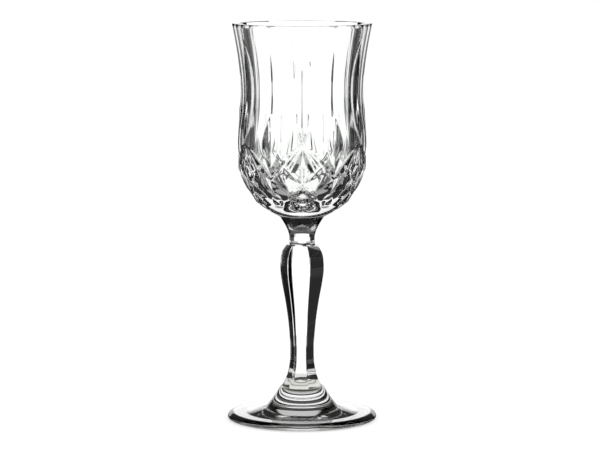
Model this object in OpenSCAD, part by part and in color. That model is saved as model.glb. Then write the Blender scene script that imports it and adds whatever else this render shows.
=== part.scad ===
// Cut-glass liqueur glass on a six-sided stem
// Millimetres, +Z up, origin at the centre of the foot's underside, front of the glass towards -Y

/* [Stack] */
// Height of the foot, from the table to the joint with the stem
foot_h = 11.2; // [9:0.1:16]
// Length of the stem between its two joints
stem_h = 49; // [40:0.1:70]
// Height of the collar between stem and bowl
collar_h = 9.8; // [7:0.1:14]
// Height of the bowl, from its joint with the collar to the rim
bowl_h = 66; // [60:0.5:80]

/* [Bowl outside] */
// Radius of the rim, over the ridges between the flat panels
rim_r = 23.9; // [23.5:0.1:28]
// Slope of the wall at the rim, outwards per height
rim_slope = 0.2; // [0.1:0.01:0.3]
// Radius of the waist, over the ridges
waist_r = 20.95; // [20.5:0.05:23]
// Height of the waist above the bowl's joint
waist_h = 42.5; // [40:0.5:50]
// Radius of the belly, over the ridges
belly_r = 22.7; // [21.8:0.1:24]
// Height of the belly above the bowl's joint
belly_h = 25.5; // [23:0.5:30]
// Radius of the shoulder, where the wall turns in, over the ridges
shoulder_r = 21.75; // [21:0.05:23]
// Height of the shoulder above the bowl's joint
shoulder_h = 16.3; // [14:0.1:18]
// Radius of the plain round underside where the panels end
under_r = 16.2; // [15:0.1:17]
// Height of that place above the bowl's joint
under_h = 5.7; // [4.8:0.1:7]
// How far the ridges stand proud of the round underside there
ridge_proud = 0.2; // [0.1:0.05:0.4]

/* [Bowl inside] */
// Radius of the mouth
mouth_r = 21; // [19:0.1:22]
// Inner radius at the waist
waist_in_r = 17.6; // [16:0.1:18.4]
// Inner radius at the belly, where the round bottom begins
belly_in_r = 17.5; // [15:0.1:18.2]
// Thickness of the bottom at the middle
floor_t = 5.5; // [5:0.1:8]

/* [Cutting] */
// Half of the included angle of the broad leaf cuts
leaf_half_angle = 75; // [70:1:77]
// Half of the included angle of the narrow mitre cuts
mitre_half_angle = 60; // [55:1:65]
// Depth of the upper leaf, on the ridge above each diamond
upper_leaf_d = 1.25; // [0.7:0.05:1.4]
// Height of the upper leaf's middle above the bowl's joint
upper_leaf_h = 37; // [35:0.5:40]
// Radius of the wheel that cuts the upper leaf
upper_leaf_r = 48; // [36:1:60]
// Depth of the lower leaf, on the ridge between two diamonds
lower_leaf_d = 1.5; // [0.8:0.05:1.6]
// Height of the lower leaf's middle above the bowl's joint
lower_leaf_h = 26.3; // [25:0.1:28]
// Radius of the wheel that cuts the lower leaf
lower_leaf_r = 90; // [60:1:100]
// Depth of the mitre cuts that make the diamonds
mitre_d = 0.75; // [0.5:0.05:0.9]
// Radius of the round cuts that end the pattern below
scallop_r = 7; // [6:0.5:8]
// Depth of the round cuts
scallop_d = 0.7; // [0.4:0.05:0.9]
// Height of the round cuts above the bowl's joint
scallop_h = 7; // [6.5:0.1:8]

/* [Collar] */
// Radius of the joint between bowl and collar
bowl_joint_r = 7.6; // [6.5:0.1:9]
// Radius of the collar's neck
neck_r = 4.4; // [3.5:0.1:4.5]
// Height of the neck above the stem's joint
neck_h = 2.5; // [1.5:0.1:3]
// Radius of the joint between collar and stem
stem_joint_r = 4.6; // [4:0.05:4.65]

/* [Stem] */
// Turn of the stem's front side from the front of the bowl
stem_turn = -10; // [-30:0.5:30]
// Half width over flats at the joint with the collar
stem_top_r = 4.7; // [4.65:0.05:5.5]
// Half width over flats at the shoulder
stem_max_r = 6.65; // [6:0.05:8]
// Distance from the collar's joint down to the shoulder
stem_max_drop = 7.2; // [6:0.1:10]
// Half width over flats halfway down the taper
stem_mid_r = 5.05; // [4.6:0.05:5.9]
// Height of that place above the foot's joint
stem_mid_h = 29.2; // [26:0.1:31]
// Half width over flats at the thinnest place
stem_min_r = 3.65; // [3:0.05:4.5]
// Height of the thinnest place above the foot's joint
stem_min_h = 12.2; // [10:0.1:18]
// Half width over flats at the joint with the foot
stem_base_r = 6.15; // [5.2:0.05:6.2]

/* [Foot] */
// Radius of the foot's top, under the stem
foot_top_r = 7.4; // [7.2:0.05:9]
// Radius where the foot's cone has run out into the disc
cone_r = 14.2; // [13:0.1:18]
// Height of the disc where the cone has run out
disc_h = 3.1; // [2.5:0.1:4]
// Radius of the crease where the brim begins
brim_r = 19.4; // [18.5:0.1:20]
// Height of the crease
brim_h = 2.45; // [2.2:0.05:2.8]
// Radius of the disc
foot_r = 25.6; // [23:0.1:30]
// Thickness of the disc where its edge begins to turn down
edge_t = 2.4; // [1.6:0.1:2.8]
// Run of the round edge, from there out to its widest place
edge_run = 2.4; // [1.6:0.1:2.6]
// Height of the edge's widest place
nose_h = 0.8; // [0.6:0.1:1.2]

/* [Hidden] */
$fn = 96;
glass_colour = [0.86, 0.89, 0.88, 0.55];
stem_z = foot_h;
collar_z = stem_z + stem_h;
bowl_z = collar_z + collar_h;

// Twelve flat panels, and a diamond under every other ridge
panel_count = 12;
panel_angle = 360 / panel_count;
panel_share = cos(panel_angle / 2);
diamond_count = panel_count / 2;
sector = 360 / diamond_count;
stem_sides = 6;

// Slopes of the bowl's outline, outwards per height
joint_slope = 1.95;
under_slope = 1;
panel_low_slope = 0.68;
shoulder_slope_below = 0.3;
shoulder_slope_above = 0.06;

// Value at share t of a smooth curve from a to b, with slopes sa and sb over its run
function ease(t, a, b, sa, sb, run) =
    a * (2 * t ^ 3 - 3 * t ^ 2 + 1) + b * (3 * t ^ 2 - 2 * t ^ 3)
    + run * (sa * (t ^ 3 - 2 * t ^ 2 + t) + sb * (t ^ 3 - t ^ 2));

// Points of such a curve as [radius, height], without its last one
function stretch(h0, h1, r0, r1, s0, s1, steps) =
    [for (i = [0:steps - 1]) let (t = i / steps)
        [ease(t, r0, r1, s0, s1, h1 - h0), h0 + t * (h1 - h0)]];

// The wall over its ridges, from below the panels' ends up to the rim
ridge_low_r = under_r + ridge_proud;
wall_points = concat(
    [[ridge_low_r - panel_low_slope * under_h, 0]],
    stretch(under_h, shoulder_h, ridge_low_r, shoulder_r, panel_low_slope, shoulder_slope_below, 2),
    stretch(shoulder_h, belly_h, shoulder_r, belly_r, shoulder_slope_above, 0, 1),
    stretch(belly_h, waist_h, belly_r, waist_r, 0, 0, 4),
    stretch(waist_h, bowl_h, waist_r, rim_r, 0, rim_slope, 4),
    [[rim_r, bowl_h]]);

// Radius over the ridges at a height above the bowl's joint, and the wall's lean there
function wall_r(h) = lookup(h, [for (p = wall_points) [p[1], p[0]]]);
function wall_lean(h) = atan(wall_r(h + 0.5) - wall_r(h - 0.5));

// A slab between two opposite sides that follow an outline of [half width, height] points
module slab(points, width)
    rotate([90, 0, 0]) linear_extrude(height = width, center = true)
        polygon([for (side = [1, -1], i = [0:len(points) - 1])
            let (p = points[side > 0 ? i : len(points) - 1 - i])
            [side * p[0], p[1]]]);

// The plain round underside, widening past the panels
module underside() {
    clear_r = 1.5 * rim_r;
    rotate_extrude() polygon(concat(
        [[0, 0]],
        stretch(0, under_h, bowl_joint_r, under_r, joint_slope, under_slope, 4),
        [[under_r, under_h], [clear_r, under_h + (clear_r - under_r) / under_slope]],
        [[clear_r, bowl_h + 1], [0, bowl_h + 1]]));
}

// The round inside, a half ellipse below the belly
module cavity() {
    steps = 10;
    bottom = [for (i = [0:steps]) let (a = 90 * i / steps)
        [belly_in_r * sin(a), belly_h - (belly_h - floor_t) * cos(a)]];
    side = concat(
        stretch(belly_h, waist_h, belly_in_r, waist_in_r, 0, 0, 3),
        stretch(waist_h, bowl_h, waist_in_r, mouth_r, 0, rim_slope, 4),
        [[mouth_r, bowl_h], [mouth_r + rim_slope, bowl_h + 1], [0, bowl_h + 1]]);
    rotate_extrude() polygon(concat(bottom, [for (i = [1:len(side) - 1]) side[i]]));
}

module bowl_blank() difference() {
    intersection() {
        underside();
        intersection_for (k = [0:panel_count / 2 - 1])
            rotate([0, 0, (k + 0.5) * panel_angle])
                slab([for (p = wall_points) [p[0] * panel_share, p[1]]], 4 * rim_r);
    }
    cavity();
}

// Stretch of a wheel's sharp rim, deepest at the origin, cutting towards -X along Z
cut_rise = 0.5;
module wheel_edge(r, depth, half_angle) {
    t = depth + cut_rise;
    reach = acos(1 - t / r);
    translate([r - depth, 0, 0]) rotate([90, 0, 0]) rotate([0, 0, 180 - reach])
        rotate_extrude(angle = 2 * reach)
            polygon([[r, 0], [r - t, t * tan(half_angle)], [r - t, -t * tan(half_angle)]]);
}

// Rows of cuts, each repeated once a sector:
// bearing from the diamond, height, turn from upright, wheel radius, depth, half angle
// A half angle of 90 stands for a round cut
leaf_rows = [
    [0, upper_leaf_h, 0, upper_leaf_r, upper_leaf_d, leaf_half_angle],
    [sector / 2, lower_leaf_h, 0, lower_leaf_r, lower_leaf_d, leaf_half_angle]];
mitre_rows = [for (side = [-1, 1], m = [
        [15.5, 20.2, 45, 68],
        [9, 19, 27, 40],
        [12, 16.6, -44, 40],
        [7.5, 10, 48, 22]])
    [side * m[0], m[1], side * m[2], m[3], mitre_d, mitre_half_angle]];
scallop_rows = [for (b = [0, sector / 2]) [b, scallop_h, 0, scallop_r, scallop_d, 90]];
cut_rows = concat(leaf_rows, mitre_rows, scallop_rows);

// Distance from the axis to the panelled wall at a bearing and a height
function panel_r(bearing, h) =
    wall_r(h) * panel_share / cos(abs(bearing) % panel_angle - panel_angle / 2);

// Bearing by which the pattern lies beside the ridges, so that no valley runs along a ridge
pattern_off = 0.6;

module cut_row(row)
    for (k = [0:diamond_count - 1])
        rotate([0, 0, k * sector + row[0] + pattern_off - 90])
            translate([panel_r(row[0] + pattern_off, row[1]), 0, row[1]])
                rotate([0, wall_lean(row[1]), 0]) rotate([row[2], 0, 0])
                    if (row[5] == 90) translate([row[3] - row[4], 0, 0]) sphere(r = row[3]);
                    else wheel_edge(row[3], row[4], row[5]);

// The blank after its first n rows of cuts
module ground(n) {
    if (n == 0) bowl_blank();
    else difference() {
        ground(n - 1);
        cut_row(cut_rows[n - 1]);
    }
}

module bowl() color(glass_colour) translate([0, 0, bowl_z]) ground(len(cut_rows));

module collar() color(glass_colour) translate([0, 0, collar_z]) rotate_extrude() polygon(concat(
    [[0, 0]],
    stretch(0, neck_h, stem_joint_r, neck_r, -0.3, 0, 3),
    stretch(neck_h, collar_h, neck_r, bowl_joint_r, 0, 0.65, 8),
    [[bowl_joint_r, collar_h], [0, collar_h]]));

// Slopes of the stem's outline, outwards per height
stem_base_slope = -0.55;
stem_taper_slope = 0.14;
stem_top_slope = -0.8;

// Outline of the stem over its flats
stem_max_h = stem_h - stem_max_drop;
stem_points = concat(
    stretch(0, stem_min_h, stem_base_r, stem_min_r, stem_base_slope, 0, 6),
    stretch(stem_min_h, stem_mid_h, stem_min_r, stem_mid_r, 0, stem_taper_slope, 5),
    stretch(stem_mid_h, stem_max_h, stem_mid_r, stem_max_r, stem_taper_slope, 0, 5),
    stretch(stem_max_h, stem_h, stem_max_r, stem_top_r, 0, stem_top_slope, 5),
    [[stem_top_r, stem_h]]);

module stem() color(glass_colour) translate([0, 0, stem_z])
    intersection_for (k = [0:stem_sides / 2 - 1])
        rotate([0, 0, stem_turn + k * 360 / stem_sides]) slab(stem_points, 4 * stem_max_r);

// Slopes of the foot's top, upwards per radius
cone_slope_top = -1.65;
cone_slope_end = -0.2;
brim_slope = -0.1;

// Top of the foot from the crease in to the stem, as [height, radius]
foot_top_points = concat(
    stretch(brim_r, cone_r, brim_h, disc_h, brim_slope, cone_slope_end, 4),
    stretch(cone_r, foot_top_r, disc_h, foot_h, cone_slope_end, cone_slope_top, 10));

module foot() color(glass_colour) {
    edge_steps = 10;
    rotate_extrude() polygon(concat(
        [[0, 0]],
        [for (i = [0:edge_steps]) let (a = 180 * i / edge_steps - 90, rise = a < 0 ? nose_h : edge_t - nose_h)
            [foot_r - edge_run * (1 - cos(a)), nose_h + rise * sin(a)]],
        [for (p = foot_top_points) [p[1], p[0]]],
        [[foot_top_r, foot_h], [0, foot_h]]));
}

bowl();
collar();
stem();
foot();
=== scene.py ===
"""Looks of a cut-glass liqueur glass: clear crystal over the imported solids, lit from behind on white."""

import math

import bpy
import numpy as np
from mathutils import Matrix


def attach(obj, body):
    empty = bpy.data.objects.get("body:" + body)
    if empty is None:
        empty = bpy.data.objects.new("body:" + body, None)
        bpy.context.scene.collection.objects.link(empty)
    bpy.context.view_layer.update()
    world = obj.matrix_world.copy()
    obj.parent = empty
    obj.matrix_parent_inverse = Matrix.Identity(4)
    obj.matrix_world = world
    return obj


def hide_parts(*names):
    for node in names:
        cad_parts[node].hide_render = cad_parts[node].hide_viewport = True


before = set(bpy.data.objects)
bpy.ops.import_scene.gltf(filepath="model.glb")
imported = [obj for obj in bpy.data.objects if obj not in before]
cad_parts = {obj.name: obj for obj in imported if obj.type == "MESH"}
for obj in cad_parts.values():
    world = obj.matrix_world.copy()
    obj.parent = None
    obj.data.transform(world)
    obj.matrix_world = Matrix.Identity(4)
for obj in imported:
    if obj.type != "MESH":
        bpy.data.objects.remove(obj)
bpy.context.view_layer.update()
scene = bpy.context.scene
scene.view_settings.view_transform = "Standard"
MM = 0.001

# Camera: in front of the glass, looking a little down on it
PHOTO_WIDTH_PX = 600
FOCAL_PX = 2624
SENSOR_MM = 36
CAMERA_AT_MM = (-0.7, -892.2, 173.4)
CAMERA_DOWN_DEG = 6.8

camera_data = bpy.data.cameras.new("camera")
camera_data.sensor_width = SENSOR_MM
camera_data.lens = FOCAL_PX / PHOTO_WIDTH_PX * SENSOR_MM
camera = bpy.data.objects.new("camera", camera_data)
camera.location = [MM * x for x in CAMERA_AT_MM]
camera.rotation_euler = (math.radians(90 - CAMERA_DOWN_DEG), 0, 0)
scene.collection.objects.link(camera)
scene.camera = camera

# Sizes in millimetres, as in the part's source
FOOT_H = 11.2
STEM_H = 49
COLLAR_H = 9.8
BOWL_H = 66
STEM_Z = FOOT_H
COLLAR_Z = STEM_Z + STEM_H
BOWL_Z = COLLAR_Z + COLLAR_H

# Outlines as knots of (height, radius, slope arriving, slope leaving), slopes outwards per height
BOWL_WALL = [(0, 12.52, 0.68, 0.68), (5.7, 16.4, 0.68, 0.68), (16.3, 21.75, 0.3, 0.06),
             (25.5, 22.7, 0, 0), (42.5, 20.95, 0, 0), (BOWL_H, 23.9, 0.2, 0.2)]
BOWL_UNDERSIDE = [(0, 7.6, 1.95, 1.95), (5.7, 16.2, 1, 1), (BOWL_H, 76.5, 1, 1)]
BOWL_INSIDE = [(25.5, 17.5, 0, 0), (42.5, 17.6, 0, 0), (BOWL_H, 21, 0.2, 0.2)]
BOWL_FLOOR_T = 5.5
COLLAR_SIDE = [(0, 4.6, -0.3, -0.3), (2.5, 4.4, 0, 0), (COLLAR_H, 7.6, 0.65, 0.65)]
STEM_FLATS = [(0, 6.15, -0.55, -0.55), (12.2, 3.65, 0, 0), (29.2, 5.05, 0.14, 0.14),
              (41.8, 6.65, 0, 0), (STEM_H, 4.7, -0.8, -0.8)]

# The foot's top, as knots of (radius, height, slope arriving, slope leaving), slopes upwards per radius
FOOT_CONE = [(7.4, FOOT_H, -1.65, -1.65), (14.2, 3.1, -0.2, -0.2), (19.4, 2.45, -0.1, -0.1)]
FOOT_R = 25.6
FOOT_EDGE_RUN = 2.4
FOOT_NOSE_H = 0.8
FOOT_EDGE_T = 2.4

PANEL = math.radians(30)
SECTOR = math.radians(60)
STEM_SIDES = 6
STEM_TURN = math.radians(-10)

# How softly the polish rounds the edges: widths of the rounding at ridges and cuts, heights of the rim's
# rounding on its outer and inner half, and the radius of the stem's arrises
RIDGE_ROUND = 0.12
UNDERSIDE_ROUND = 0.15
CUT_ROUND = 0.1
VALLEY_ROUND = 0.08
RIM_OUTER = 0.1
RIM_INNER = 0.5
ARRIS_R = 0.6


def ease(t, a, b, slope_a, slope_b, run):
    """Value at share t of a smooth curve from a to b with the slopes given, over its run."""
    return (a * (2 * t**3 - 3 * t**2 + 1) + b * (3 * t**2 - 2 * t**3)
            + run * (slope_a * (t**3 - 2 * t**2 + t) + slope_b * (t**3 - t**2)))


def outline(h, knots):
    """Radius at the heights h, on smooth curves through the knots. For the foot, height at radii."""
    for i, (low, high) in enumerate(zip(knots, knots[1:])):
        run = high[0] - low[0]
        curve = ease((h - low[0]) / run, low[1], high[1], low[3], high[2], run)
        r = np.where(h >= low[0], curve, r) if i else curve
    return r


def soft_max(a, b, width):
    """The larger of a and b, rounded where they cross."""
    near = np.maximum(width - np.abs(a - b), 0) / width
    return np.maximum(a, b) + near**2 * width / 4


def soft_min(a, b, width):
    """The smaller of a and b, rounded where they cross."""
    return -soft_max(-a, -b, width)


def around(bearing, r, h):
    """Points at bearings from the front of the glass, which is towards -Y."""
    bearing, r, h = np.broadcast_arrays(bearing, r, h)
    return np.stack([r * np.sin(bearing), -r * np.cos(bearing), h], axis=-1)


# Step in millimetres by which a surface is felt for its normal, and the radius that turns it into a bearing
NORMAL_STEP = 0.02
NORMAL_R = 20


def facing(surface, bearing, h):
    """Outward normals of a surface given as a function of bearing and height."""
    turn = NORMAL_STEP / NORMAL_R
    across = surface(bearing + turn, h) - surface(bearing - turn, h)
    up = surface(bearing, h + NORMAL_STEP) - surface(bearing, h - NORMAL_STEP)
    normal = np.cross(across, up)
    return normal / np.linalg.norm(normal, axis=-1, keepdims=True)


def panelled_r(bearing, h):
    """Radius of the twelve flat panels, with ridges at the front and every thirty degrees."""
    ridge = outline(h, BOWL_WALL) * math.cos(PANEL / 2)
    off_middle = np.abs(np.mod(bearing, PANEL) - PANEL / 2)
    return soft_min(ridge / np.cos(off_middle), ridge / np.cos(PANEL - off_middle), RIDGE_ROUND)


def bowl_blank(bearing, h):
    """Points on the panelled bowl before it is cut, closed below by its round underside."""
    return around(bearing, soft_min(panelled_r(bearing, h), outline(h, BOWL_UNDERSIDE), UNDERSIDE_ROUND), h)


# Cuts, each repeated once a sector: bearing from the diamond, height, turn from upright,
# radius of the wheel, depth, and half of its edge's angle, where ROUND_CUT stands for a round cut
ROUND_CUT = 90
PATTERN_OFF_DEG = 0.6
LEAVES = [(0, 37, 0, 48, 1.25, 75), (30, 26.3, 0, 90, 1.5, 75)]
MITRES = [(side * bearing, h, side * turn, wheel, 0.75, 60)
          for side in (-1, 1)
          for bearing, h, turn, wheel in ((15.5, 20.2, 45, 68), (9, 19, 27, 40),
                                          (12, 16.6, -44, 40), (7.5, 10, 48, 22))]
SCALLOPS = [(bearing, 7, 0, 7, 0.7, ROUND_CUT) for bearing in (0, 30)]
CUTS = LEAVES + MITRES + SCALLOPS
LEAN_STEP = 0.5
GRINDING_PASSES = 3


def inside_cut(points, cut):
    """How far points lie inside the nearest copy of a cut, negative outside it."""
    bearing, h, turn, wheel, depth, half_angle = cut
    centre = math.radians(bearing + PATTERN_OFF_DEG)
    centre_r = float(panelled_r(np.array(centre), np.array(float(h))))
    lean = math.atan(float(outline(np.array(h + LEAN_STEP), BOWL_WALL)
                           - outline(np.array(h - LEAN_STEP), BOWL_WALL)) / (2 * LEAN_STEP))
    turn = math.radians(turn)
    r = np.hypot(points[..., 0], points[..., 1])
    off = np.arctan2(points[..., 0], -points[..., 1]) - centre
    off = np.mod(off + SECTOR / 2, SECTOR) - SECTOR / 2
    x, y, z = r * np.cos(off) - centre_r, r * np.sin(off), points[..., 2] - h
    x, z = x * math.cos(lean) - z * math.sin(lean), x * math.sin(lean) + z * math.cos(lean)
    y, z = y * math.cos(turn) + z * math.sin(turn), z * math.cos(turn) - y * math.sin(turn)
    x = x - (wheel - depth)
    if half_angle == ROUND_CUT:
        return wheel - np.sqrt(x**2 + y**2 + z**2)
    off_edge = np.sqrt(y**2 + VALLEY_ROUND**2) - VALLEY_ROUND
    return wheel - np.hypot(x, z) - off_edge / math.tan(math.radians(half_angle))


def bowl_cut(bearing, h):
    """The panelled blank, ground away along its normals by every cut."""
    blank = bowl_blank(bearing, h)
    inward = -facing(bowl_blank, bearing, h)
    depth = np.zeros(blank.shape[:-1])
    for _ in range(GRINDING_PASSES):
        ground = blank + inward * depth[..., None]
        needed = np.zeros_like(depth)
        for cut in CUTS:
            needed = soft_max(needed, depth + inside_cut(ground, cut), CUT_ROUND)
        depth = needed
    return blank + inward * depth[..., None]


def turned(bearings, profile):
    """Rings of points round the axis, from an array of (radius, height) pairs."""
    return around(bearings[None, :], profile[:, :1], profile[:, 1:])


def all_round(columns):
    """Bearings of equally spaced columns."""
    return np.arange(columns) * 2 * math.pi / columns


def piece(name, node, rings, low, high, z, fused, creases):
    """A closed skin of rings between two middle points on the axis, standing for a node.

    fused numbers the gaps from the low point up whose faces are inside the glass, and creases numbers
    the rings whose edges stay sharp. Negative numbers count down from the high point.
    """
    rows, columns = rings.shape[:2]
    points = np.concatenate([rings.reshape(-1, 3), [(0, 0, low), (0, 0, high)]])
    points[:, 2] += z
    ring = np.arange(rows * columns).reshape(rows, columns)
    after = np.roll(ring, -1, axis=1)
    quads = np.stack([ring[:-1], after[:-1], after[1:], ring[1:]], axis=-1).reshape(-1, 4)
    low_fan = np.stack([after[0], ring[0], np.full(columns, rows * columns)], axis=-1)
    high_fan = np.stack([ring[-1], after[-1], np.full(columns, rows * columns + 1)], axis=-1)
    mesh = bpy.data.meshes.new(name)
    mesh.from_pydata((points * MM).tolist(), [], low_fan.tolist() + quads.tolist() + high_fan.tolist())
    gap = np.repeat(np.arange(rows + 1), columns)
    mesh.polygons.foreach_set("use_smooth", np.ones(len(gap), bool))
    mesh.materials.append(CRYSTAL)
    mesh.materials.append(FUSED)
    mesh.polygons.foreach_set("material_index", np.isin(gap, np.mod(fused, rows + 1)).astype(np.int32))
    ends = np.zeros(len(mesh.edges) * 2, np.int32)
    mesh.edges.foreach_get("vertices", ends)
    of_ring = np.minimum(ends.reshape(-1, 2) // columns, rows)
    sharp = (of_ring[:, 0] == of_ring[:, 1]) & np.isin(of_ring[:, 0], np.mod(creases, rows))
    mesh.attributes.new("sharp_edge", "BOOLEAN", "EDGE").data.foreach_set("value", sharp)
    mesh.update()
    made = bpy.data.objects.new(name, mesh)
    scene.collection.objects.link(made)
    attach(made, "root")
    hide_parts(node)


def linear(hex_colour):
    """Linear colour with alpha from an sRGB hex value."""
    srgb = [int(hex_colour[i:i + 2], 16) / 255 for i in (1, 3, 5)]
    return [c / 12.92 if c <= 0.04045 else ((c + 0.055) / 1.055) ** 2.4 for c in srgb] + [1]


def add(tree, kind, settings=None, links=None, stops=()):
    """Adds a node, sets its inputs or properties by name, links outputs to its inputs, and fills a
    ramp with stops of (position, colour)."""
    node = tree.nodes.new(kind)
    for name, value in (settings or {}).items():
        if isinstance(name, int) or name in node.inputs:
            node.inputs[name].default_value = value
        else:
            setattr(node, name, value)
    for name, output in (links or {}).items():
        tree.links.new(output, node.inputs[name])
    marks = node.color_ramp.elements if stops else ()
    while len(marks) < len(stops):
        marks.new(0.5)
    for mark, (position, colour) in zip(marks, stops):
        mark.position = position
        mark.color = colour
    return node


def empty_tree(owner):
    """The node tree of a material or world, with nothing in it."""
    owner.use_nodes = True
    owner.node_tree.nodes.clear()
    return owner.node_tree


# Crystal glass, pressed, cut with wheels and polished: colourless and very clear, with a faint
# waviness of the polish that bends what is seen through it
WAVE_MM = 5
WAVE_DEPTH_MM = 0.02
CRYSTAL = bpy.data.materials.new("crystal_cut_and_polished")
tree = empty_tree(CRYSTAL)
place = add(tree, "ShaderNodeTexCoord")
waves = add(tree, "ShaderNodeTexNoise", {"Scale": 1 / (WAVE_MM * MM), "Detail": 1},
            {"Vector": place.outputs["Object"]})
relief = add(tree, "ShaderNodeBump", {"Strength": 0.3, "Distance": WAVE_DEPTH_MM * MM},
             {"Height": waves.outputs["Fac"]})
glass = add(tree, "ShaderNodeBsdfPrincipled",
            {"Base Color": linear("#fcfdfc"), "Transmission Weight": 1, "IOR": 1.54, "Roughness": 0},
            {"Normal": relief.outputs["Normal"]})
add(tree, "ShaderNodeOutputMaterial", links={"Surface": glass.outputs["BSDF"]})

# Where two pieces are fused the glass has no surface, so light goes straight through
FUSED = bpy.data.materials.new("fused_joint_in_crystal")
tree = empty_tree(FUSED)
clear = add(tree, "ShaderNodeBsdfPrincipled", {"Base Color": linear("#ffffff"), "Alpha": 0})
add(tree, "ShaderNodeOutputMaterial", links={"Surface": clear.outputs["BSDF"]})

# Bowl: rows of points below, among and above the cuts, over the round rim, and down the plain inside
BOWL_COLUMNS = 504
CUTS_FROM_H = 4.5
CUTS_TO_H = 49
ROWS_BELOW = 8
ROWS_AMONG = 136
ROWS_ABOVE = 14
ROWS_OF_RIM = 17
ROWS_OF_SIDE = 13
ROWS_OF_BOTTOM = 12
bearings = all_round(BOWL_COLUMNS)
heights = np.concatenate([np.linspace(0, CUTS_FROM_H, ROWS_BELOW, endpoint=False),
                          np.linspace(CUTS_FROM_H, CUTS_TO_H, ROWS_AMONG, endpoint=False),
                          np.linspace(CUTS_TO_H, BOWL_H - RIM_OUTER, ROWS_ABOVE)])
outside = bowl_cut(*np.broadcast_arrays(bearings[None, :], heights[:, None]))
outside_rim_r = np.hypot(outside[-1, :, 0], outside[-1, :, 1])
inside_rim_r = float(outline(np.array(BOWL_H - RIM_INNER), BOWL_INSIDE))
turn_over = np.radians(np.linspace(0, 180, ROWS_OF_RIM))[1:-1, None]
rim_r = (outside_rim_r + inside_rim_r) / 2 + (outside_rim_r - inside_rim_r) / 2 * np.cos(turn_over)
rim_drop = np.where(turn_over < math.pi / 2, RIM_OUTER, RIM_INNER) * (1 - np.sin(turn_over))
rim = around(bearings[None, :], rim_r, BOWL_H - rim_drop)
belly_h, belly_r = BOWL_INSIDE[0][:2]
side_h = np.linspace(BOWL_H - RIM_INNER, belly_h, ROWS_OF_SIDE)
side = np.stack([outline(side_h, BOWL_INSIDE), side_h], axis=-1)
to_middle = np.radians(np.linspace(90, 0, ROWS_OF_BOTTOM, endpoint=False))[1:]
bottom = np.stack([belly_r * np.sin(to_middle),
                   belly_h - (belly_h - BOWL_FLOOR_T) * np.cos(to_middle)], axis=-1)
inside = turned(bearings, np.concatenate([side, bottom]))
piece("bowl_glass", "bowl", np.concatenate([outside, rim, inside]), 0, BOWL_FLOOR_T, BOWL_Z,
      fused=[0], creases=[0])

# Collar: a plain turned neck
COLLAR_COLUMNS = 144
COLLAR_ROWS = 40
collar_h = np.linspace(0, COLLAR_H, COLLAR_ROWS)
collar_side = np.stack([outline(collar_h, COLLAR_SIDE), collar_h], axis=-1)
piece("collar_glass", "collar", turned(all_round(COLLAR_COLUMNS), collar_side), 0, COLLAR_H, COLLAR_Z,
      fused=[0, -1], creases=[0, -1])

# Stem: six flat sides that swell and narrow, and a ledge round the collar's joint
FLAT_COLUMNS = 24
ARRIS_COLUMNS = 6
STEM_ROWS = 90


def stem_section(flat):
    """Points round the six-sided section with rounded arrises, from its half width over flats."""
    half = math.pi / STEM_SIDES
    reach = (flat - ARRIS_R) * math.tan(half)
    points = []
    for k in range(STEM_SIDES):
        facing_to = STEM_TURN + 2 * half * k
        for along in np.linspace(-reach, reach, FLAT_COLUMNS, endpoint=False):
            points.append((facing_to, along, flat))
        for bend in np.linspace(0, 2 * half, ARRIS_COLUMNS, endpoint=False):
            points.append((facing_to, reach + ARRIS_R * math.sin(bend),
                           flat - ARRIS_R * (1 - math.cos(bend))))
    to, along, out = np.array(points).T
    return np.stack([out * np.sin(to) + along * np.cos(to), along * np.sin(to) - out * np.cos(to)], axis=-1)


def level_ring(section, h):
    """A ring of points from a section, all at one height."""
    return np.concatenate([section, np.full((len(section), 1), h)], axis=-1)


stem_h = np.linspace(0, STEM_H, STEM_ROWS)
stem_rings = np.stack([level_ring(stem_section(float(flat)), h)
                       for flat, h in zip(outline(stem_h, STEM_FLATS), stem_h)])
foot_bearings, top_bearings = (np.arctan2(ring[:, 0], -ring[:, 1]) for ring in stem_rings[[0, -1]])
ledge = around(top_bearings, COLLAR_SIDE[0][1], STEM_H)[None]
piece("stem_glass", "stem", np.concatenate([stem_rings, ledge]), 0, STEM_H, STEM_Z,
      fused=[0, -1], creases=[0, -2, -1])

# Foot: flat underside, round edge, level brim, cone that runs up to the stem, and the stem's seat
EDGE_ROWS = 25
BRIM_ROWS = 16
CONE_ROWS = 60
edge_turn = np.radians(np.linspace(-90, 90, EDGE_ROWS))
edge_high = np.where(edge_turn < 0, FOOT_NOSE_H, FOOT_EDGE_T - FOOT_NOSE_H)
edge = np.stack([FOOT_R - FOOT_EDGE_RUN * (1 - np.cos(edge_turn)),
                 FOOT_NOSE_H + edge_high * np.sin(edge_turn)], axis=-1)
crease_r, crease_h = FOOT_CONE[-1][:2]
edge_r = FOOT_R - FOOT_EDGE_RUN
brim_r = np.linspace(edge_r, crease_r, BRIM_ROWS)[1:-1]
brim = np.stack([brim_r, np.interp(brim_r, [crease_r, edge_r], [crease_h, FOOT_EDGE_T])], axis=-1)
cone_r = np.linspace(crease_r, FOOT_CONE[0][0], CONE_ROWS)
cone = np.stack([cone_r, outline(cone_r, FOOT_CONE)], axis=-1)
foot_rings = turned(foot_bearings, np.concatenate([edge, brim, cone]))
stem_seat = level_ring(stem_rings[0, :, :2], FOOT_H)[None]
piece("foot_glass", "foot", np.concatenate([foot_rings, stem_seat]), 0, FOOT_H, 0,
      fused=[-1], creases=[0, len(edge) + len(brim), -2, -1])

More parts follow.
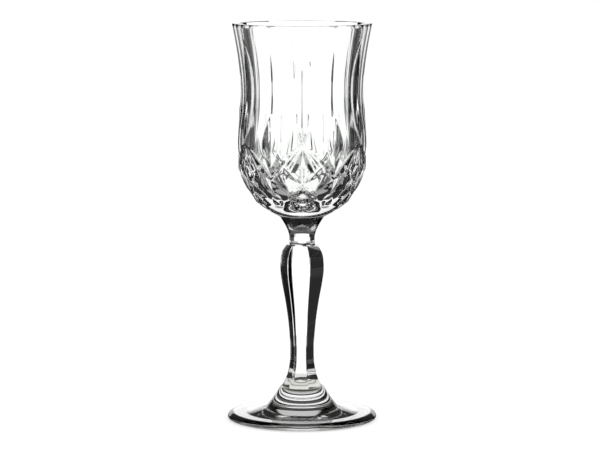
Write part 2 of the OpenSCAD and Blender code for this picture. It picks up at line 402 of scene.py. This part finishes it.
# Studio: what the glass sees round it, as (bearing in degrees, brightness)
# Bearing 0 is behind the glass and 90 is to its right
# A bright screen behind the glass with dark panels beside it draws the edges of clear glass
# Walls have a low and a high part, and the table has a near, a middle and a far ring
WALLS_LOW = [(-180, 0.08), (-150, 0.08), (-140, 0.9), (-77, 0.9), (-68, 0.01), (-26, 0.01), (-22, 1.2),
             (18, 1.2), (26, 0.5), (30, 0.01), (65, 0.01), (90, 0.15), (180, 0.08)]
WALLS_HIGH = [(-180, 0.08), (-150, 0.08), (-140, 0.9), (-77, 0.9), (-68, 0.01), (-24, 0.01), (-18, 0.6),
              (30, 0.6), (36, 0.01), (65, 0.01), (90, 0.15), (180, 0.08)]
# The table's rings are painted bright and dark panels that glow on the floor only for rays through the glass
TABLE_FRONT = [(-180, 0.9), (-175, 0.9), (-170, 0.05), (-150, 0.05), (-145, 0.9)]
TABLE_NEAR = TABLE_FRONT + [
    (-85, 0.9), (-75, 0.4), (-50, 0.4), (-45, 0.01), (-14, 0.01), (-9, 1.2), (9, 1.2), (14, 0.01),
    (52, 0.01), (57, 0.4), (84, 0.4), (92, 0.9), (180, 0.9)]
TABLE_MIDDLE = TABLE_FRONT + [
    (-47, 0.9), (-44, 0.02), (-38, 0.02), (-35, 0.5), (-16, 0.5), (-9, 1.2), (9, 1.2), (16, 0.5),
    (40, 0.5), (43, 0.02), (48, 0.02), (51, 0.9), (180, 0.9)]
TABLE_FAR = TABLE_FRONT + [
    (-85, 0.9), (-78, 0.05), (-30.5, 0.01), (-26, 1.25), (26, 1.25), (30.5, 0.01),
    (84, 0.05), (92, 0.9), (180, 0.9)]

# Where one part gives way to the next: degrees above the horizon for the walls, radii for the table
WALL_SPLIT_DEG = (13, 14.5)
WALL_TOP_DEG = (34, 40)
TABLE_MIDDLE_R = (170 * MM, 205 * MM)
TABLE_FAR_R = (330 * MM, 370 * MM)
TABLE_CLEAR_R = (29 * MM, 34 * MM)

# Under the foot the table has painted light and shade, by radius in millimetres: bright caustic rings, thin
# dark rings and a painted shadow ring, the inner ones darkened with painted shade at the sides and in front
UNDER_R_MM = 20
PAINTED_CAUSTICS_AND_SHADOW_UNDER_FOOT = [(0, "#6a6861"), (2, "#6a6861"), (2.6, "#eae9e6"), (5.4, "#f6f6f4"), (6, "#8f8d88"), (6.6, "#dddcd7"),
         (7.4, "#e6e5e1"), (8, "#989690"), (8.6, "#e6e5e1"), (10.3, "#f4f3f0"), (11.6, "#524f47"),
         (14.2, "#524f47"), (17.5, "#ffffff")]
# Painted shade by bearing for the inner rings under the foot: dark at the sides and in front
PAINTED_SHADE_UNDER_FOOT_SIDES = [(-180, 0.05), (-60, 0.05), (-45, 1), (45, 1), (60, 0.05), (180, 0.05)]
UNDER_SIDES_R = (10 * MM, 12 * MM)

# Light turned back inside the glass sees low walls dimmed and high walls as listed, and straight light sees
# plain high walls. A long path in the glass and, near the glass, a mirrored ray keep less light
LONG_PATH = (2, 3)
LONG_PATH_KEPT = 0.15
TURNED_LOW = "#303030"
STRAIGHT_HIGH = "#595959"
ABOVE_TOP = 0.02
MIRRORED = 0.35


def limits(low, high, at_low=0, at_high=1):
    """Settings for a value that goes from one level to another between two limits."""
    return {"From Min": low, "From Max": high, "To Min": at_low, "To Max": at_high}


def by_bearing(tree, direction, stops):
    """Brightness in a direction, as an output to link."""
    parts = add(tree, "ShaderNodeSeparateXYZ", links={"Vector": direction})
    angle = add(tree, "ShaderNodeMath", {"operation": "ARCTAN2"},
                {0: parts.outputs["X"], 1: parts.outputs["Y"]})
    share = add(tree, "ShaderNodeMapRange", limits(-math.pi, math.pi), {"Value": angle.outputs[0]})
    ramp = add(tree, "ShaderNodeValToRGB", links={"Fac": share.outputs[0]},
               stops=[((degrees + 180) / 360, (bright, bright, bright, 1)) for degrees, bright in stops])
    return ramp.outputs["Color"]


def seen_by_glass(tree, path):
    """One for rays that the glass mirrors or bends, and how much light a long path in it keeps."""
    either = add(tree, "ShaderNodeMath", {"operation": "MAXIMUM"},
                 {0: path.outputs["Is Glossy Ray"], 1: path.outputs["Is Transmission Ray"]})
    kept = add(tree, "ShaderNodeMapRange", limits(*LONG_PATH, 1, LONG_PATH_KEPT),
               {"Value": path.outputs["Glossy Depth"]})
    return either.outputs[0], kept.outputs[0]


def rises(degrees):
    """Heights on the unit sphere of angles above the horizon."""
    return [math.sin(math.radians(a)) for a in degrees]


world = bpy.data.worlds.new("studio")
scene.world = world
tree = empty_tree(world)
place = add(tree, "ShaderNodeTexCoord").outputs["Generated"]
path = add(tree, "ShaderNodeLightPath")
through_glass, kept = seen_by_glass(tree, path)

# One for light that leaves the glass after it was reflected inside
turned_inside = add(tree, "ShaderNodeMath", {"operation": "MULTIPLY", "use_clamp": True},
                    {0: path.outputs["Is Transmission Ray"], 1: path.outputs["Glossy Depth"]}).outputs[0]
upper = add(tree, "ShaderNodeMixRGB", {"Color1": linear(STRAIGHT_HIGH)},
            {"Fac": turned_inside, "Color2": by_bearing(tree, place, WALLS_HIGH)})
lower = add(tree, "ShaderNodeMixRGB", {"blend_type": "MULTIPLY", "Color2": linear(TURNED_LOW)},
            {"Fac": turned_inside, "Color1": by_bearing(tree, place, WALLS_LOW)})
rise = add(tree, "ShaderNodeSeparateXYZ", links={"Vector": place}).outputs["Z"]
split = add(tree, "ShaderNodeMapRange", limits(*rises(WALL_SPLIT_DEG)), {"Value": rise})
below_top = add(tree, "ShaderNodeMapRange", limits(*rises(WALL_TOP_DEG), 1, ABOVE_TOP), {"Value": rise})
walls = add(tree, "ShaderNodeMixRGB", links={"Fac": split.outputs[0], "Color1": lower.outputs["Color"],
                                             "Color2": upper.outputs["Color"]})
level = add(tree, "ShaderNodeMath", {"operation": "MULTIPLY"}, {0: below_top.outputs[0], 1: kept})
plain = add(tree, "ShaderNodeBackground", {"Color": linear("#ffffff"), "Strength": 1})
studio = add(tree, "ShaderNodeBackground",
             links={"Color": walls.outputs["Color"], "Strength": level.outputs[0]})
both = add(tree, "ShaderNodeMixShader", links={0: through_glass, 1: plain.outputs[0], 2: studio.outputs[0]})
add(tree, "ShaderNodeOutputWorld", links={"Surface": both.outputs[0]})

# Floor: a sheet of matt white paper that shows white to the camera and keeps a soft shadow; for the glass it
# glows with the table's painted bright and dark panels, sizes in metres
FLOOR_HALF = 4
FLOOR_GAP = 0.05 * MM
CAMERA_GLOW = 0.6
FLOOR = bpy.data.materials.new("white_paper_with_painted_light_for_glass")
tree = empty_tree(FLOOR)
place = add(tree, "ShaderNodeNewGeometry").outputs["Position"]
path = add(tree, "ShaderNodeLightPath")
through_glass, kept = seen_by_glass(tree, path)
glow = add(tree, "ShaderNodeMath", {"operation": "MULTIPLY", 1: CAMERA_GLOW},
           {0: path.outputs["Is Camera Ray"]})
lit = add(tree, "ShaderNodeEmission", {"Color": linear("#ffffff")}, {"Strength": glow.outputs[0]})
paper = add(tree, "ShaderNodeBsdfDiffuse", {"Color": linear("#b4b4b4")})
shown = add(tree, "ShaderNodeAddShader", links={0: lit.outputs[0], 1: paper.outputs[0]})

# The table's rings, and inside them the painted caustic rings and painted shadow under the foot
reach = add(tree, "ShaderNodeVectorMath", {"operation": "LENGTH"}, {0: place}).outputs["Value"]
past_near = add(tree, "ShaderNodeMapRange", limits(*TABLE_MIDDLE_R), {"Value": reach})
far = add(tree, "ShaderNodeMapRange", limits(*TABLE_FAR_R), {"Value": reach}).outputs[0]
close = add(tree, "ShaderNodeMixRGB", links={"Fac": past_near.outputs[0],
                                             "Color1": by_bearing(tree, place, TABLE_NEAR),
                                             "Color2": by_bearing(tree, place, TABLE_MIDDLE)})
table = add(tree, "ShaderNodeMixRGB", links={"Fac": far, "Color1": close.outputs["Color"],
                                             "Color2": by_bearing(tree, place, TABLE_FAR)})
ring_share = add(tree, "ShaderNodeMapRange", limits(0, UNDER_R_MM * MM), {"Value": reach})
# Painted caustic rings and a painted shadow ring on the floor under the foot, by radius
painted_caustics_and_shadow = add(tree, "ShaderNodeValToRGB", links={"Fac": ring_share.outputs[0]},
            stops=[(r / UNDER_R_MM, linear(colour)) for r, colour in PAINTED_CAUSTICS_AND_SHADOW_UNDER_FOOT])
in_middle = add(tree, "ShaderNodeMapRange", limits(*UNDER_SIDES_R, 1, 0), {"Value": reach})
# Painted shade darkens the inner rings at the sides and in front
painted_rings_shaded_at_sides = add(tree, "ShaderNodeMixRGB", {"blend_type": "MULTIPLY"},
            {"Fac": in_middle.outputs[0], "Color1": painted_caustics_and_shadow.outputs["Color"],
             "Color2": by_bearing(tree, place, PAINTED_SHADE_UNDER_FOOT_SIDES)})
past_foot = add(tree, "ShaderNodeMapRange", limits(*TABLE_CLEAR_R), {"Value": reach})
sheet = add(tree, "ShaderNodeMixRGB", links={"Fac": past_foot.outputs[0], "Color1": painted_rings_shaded_at_sides.outputs["Color"],
                                             "Color2": table.outputs["Color"]})

# Mirrored light is dimmer near the glass, and light from under the foot isn't dimmed on a long path
full = add(tree, "ShaderNodeMath", {"operation": "MAXIMUM"}, {0: path.outputs["Is Transmission Ray"], 1: far})
dim = add(tree, "ShaderNodeMapRange", limits(0, 1, MIRRORED, 1), {"Value": full.outputs[0]})
below_foot = add(tree, "ShaderNodeMapRange", limits(*TABLE_CLEAR_R, 1, 0), {"Value": reach})
kept_below = add(tree, "ShaderNodeMath", {"operation": "MAXIMUM"}, {0: kept, 1: below_foot.outputs[0]})
level = add(tree, "ShaderNodeMath", {"operation": "MULTIPLY"}, {0: dim.outputs[0], 1: kept_below.outputs[0]})
# The floor glows with its painted bright and dark panels for rays through the glass
studio = add(tree, "ShaderNodeEmission",
             links={"Color": sheet.outputs["Color"], "Strength": level.outputs[0]})
both = add(tree, "ShaderNodeMixShader", links={0: through_glass, 1: shown.outputs[0], 2: studio.outputs[0]})
add(tree, "ShaderNodeOutputMaterial", links={"Surface": both.outputs[0]})

floor_mesh = bpy.data.meshes.new("floor")
corners = [(x * FLOOR_HALF, y * FLOOR_HALF, -FLOOR_GAP) for x, y in ((-1, -1), (1, -1), (1, 1), (-1, 1))]
floor_mesh.from_pydata(corners, [], [(0, 1, 2, 3)])
floor_mesh.materials.append(FLOOR)
floor = bpy.data.objects.new("floor", floor_mesh)
scene.collection.objects.link(floor)
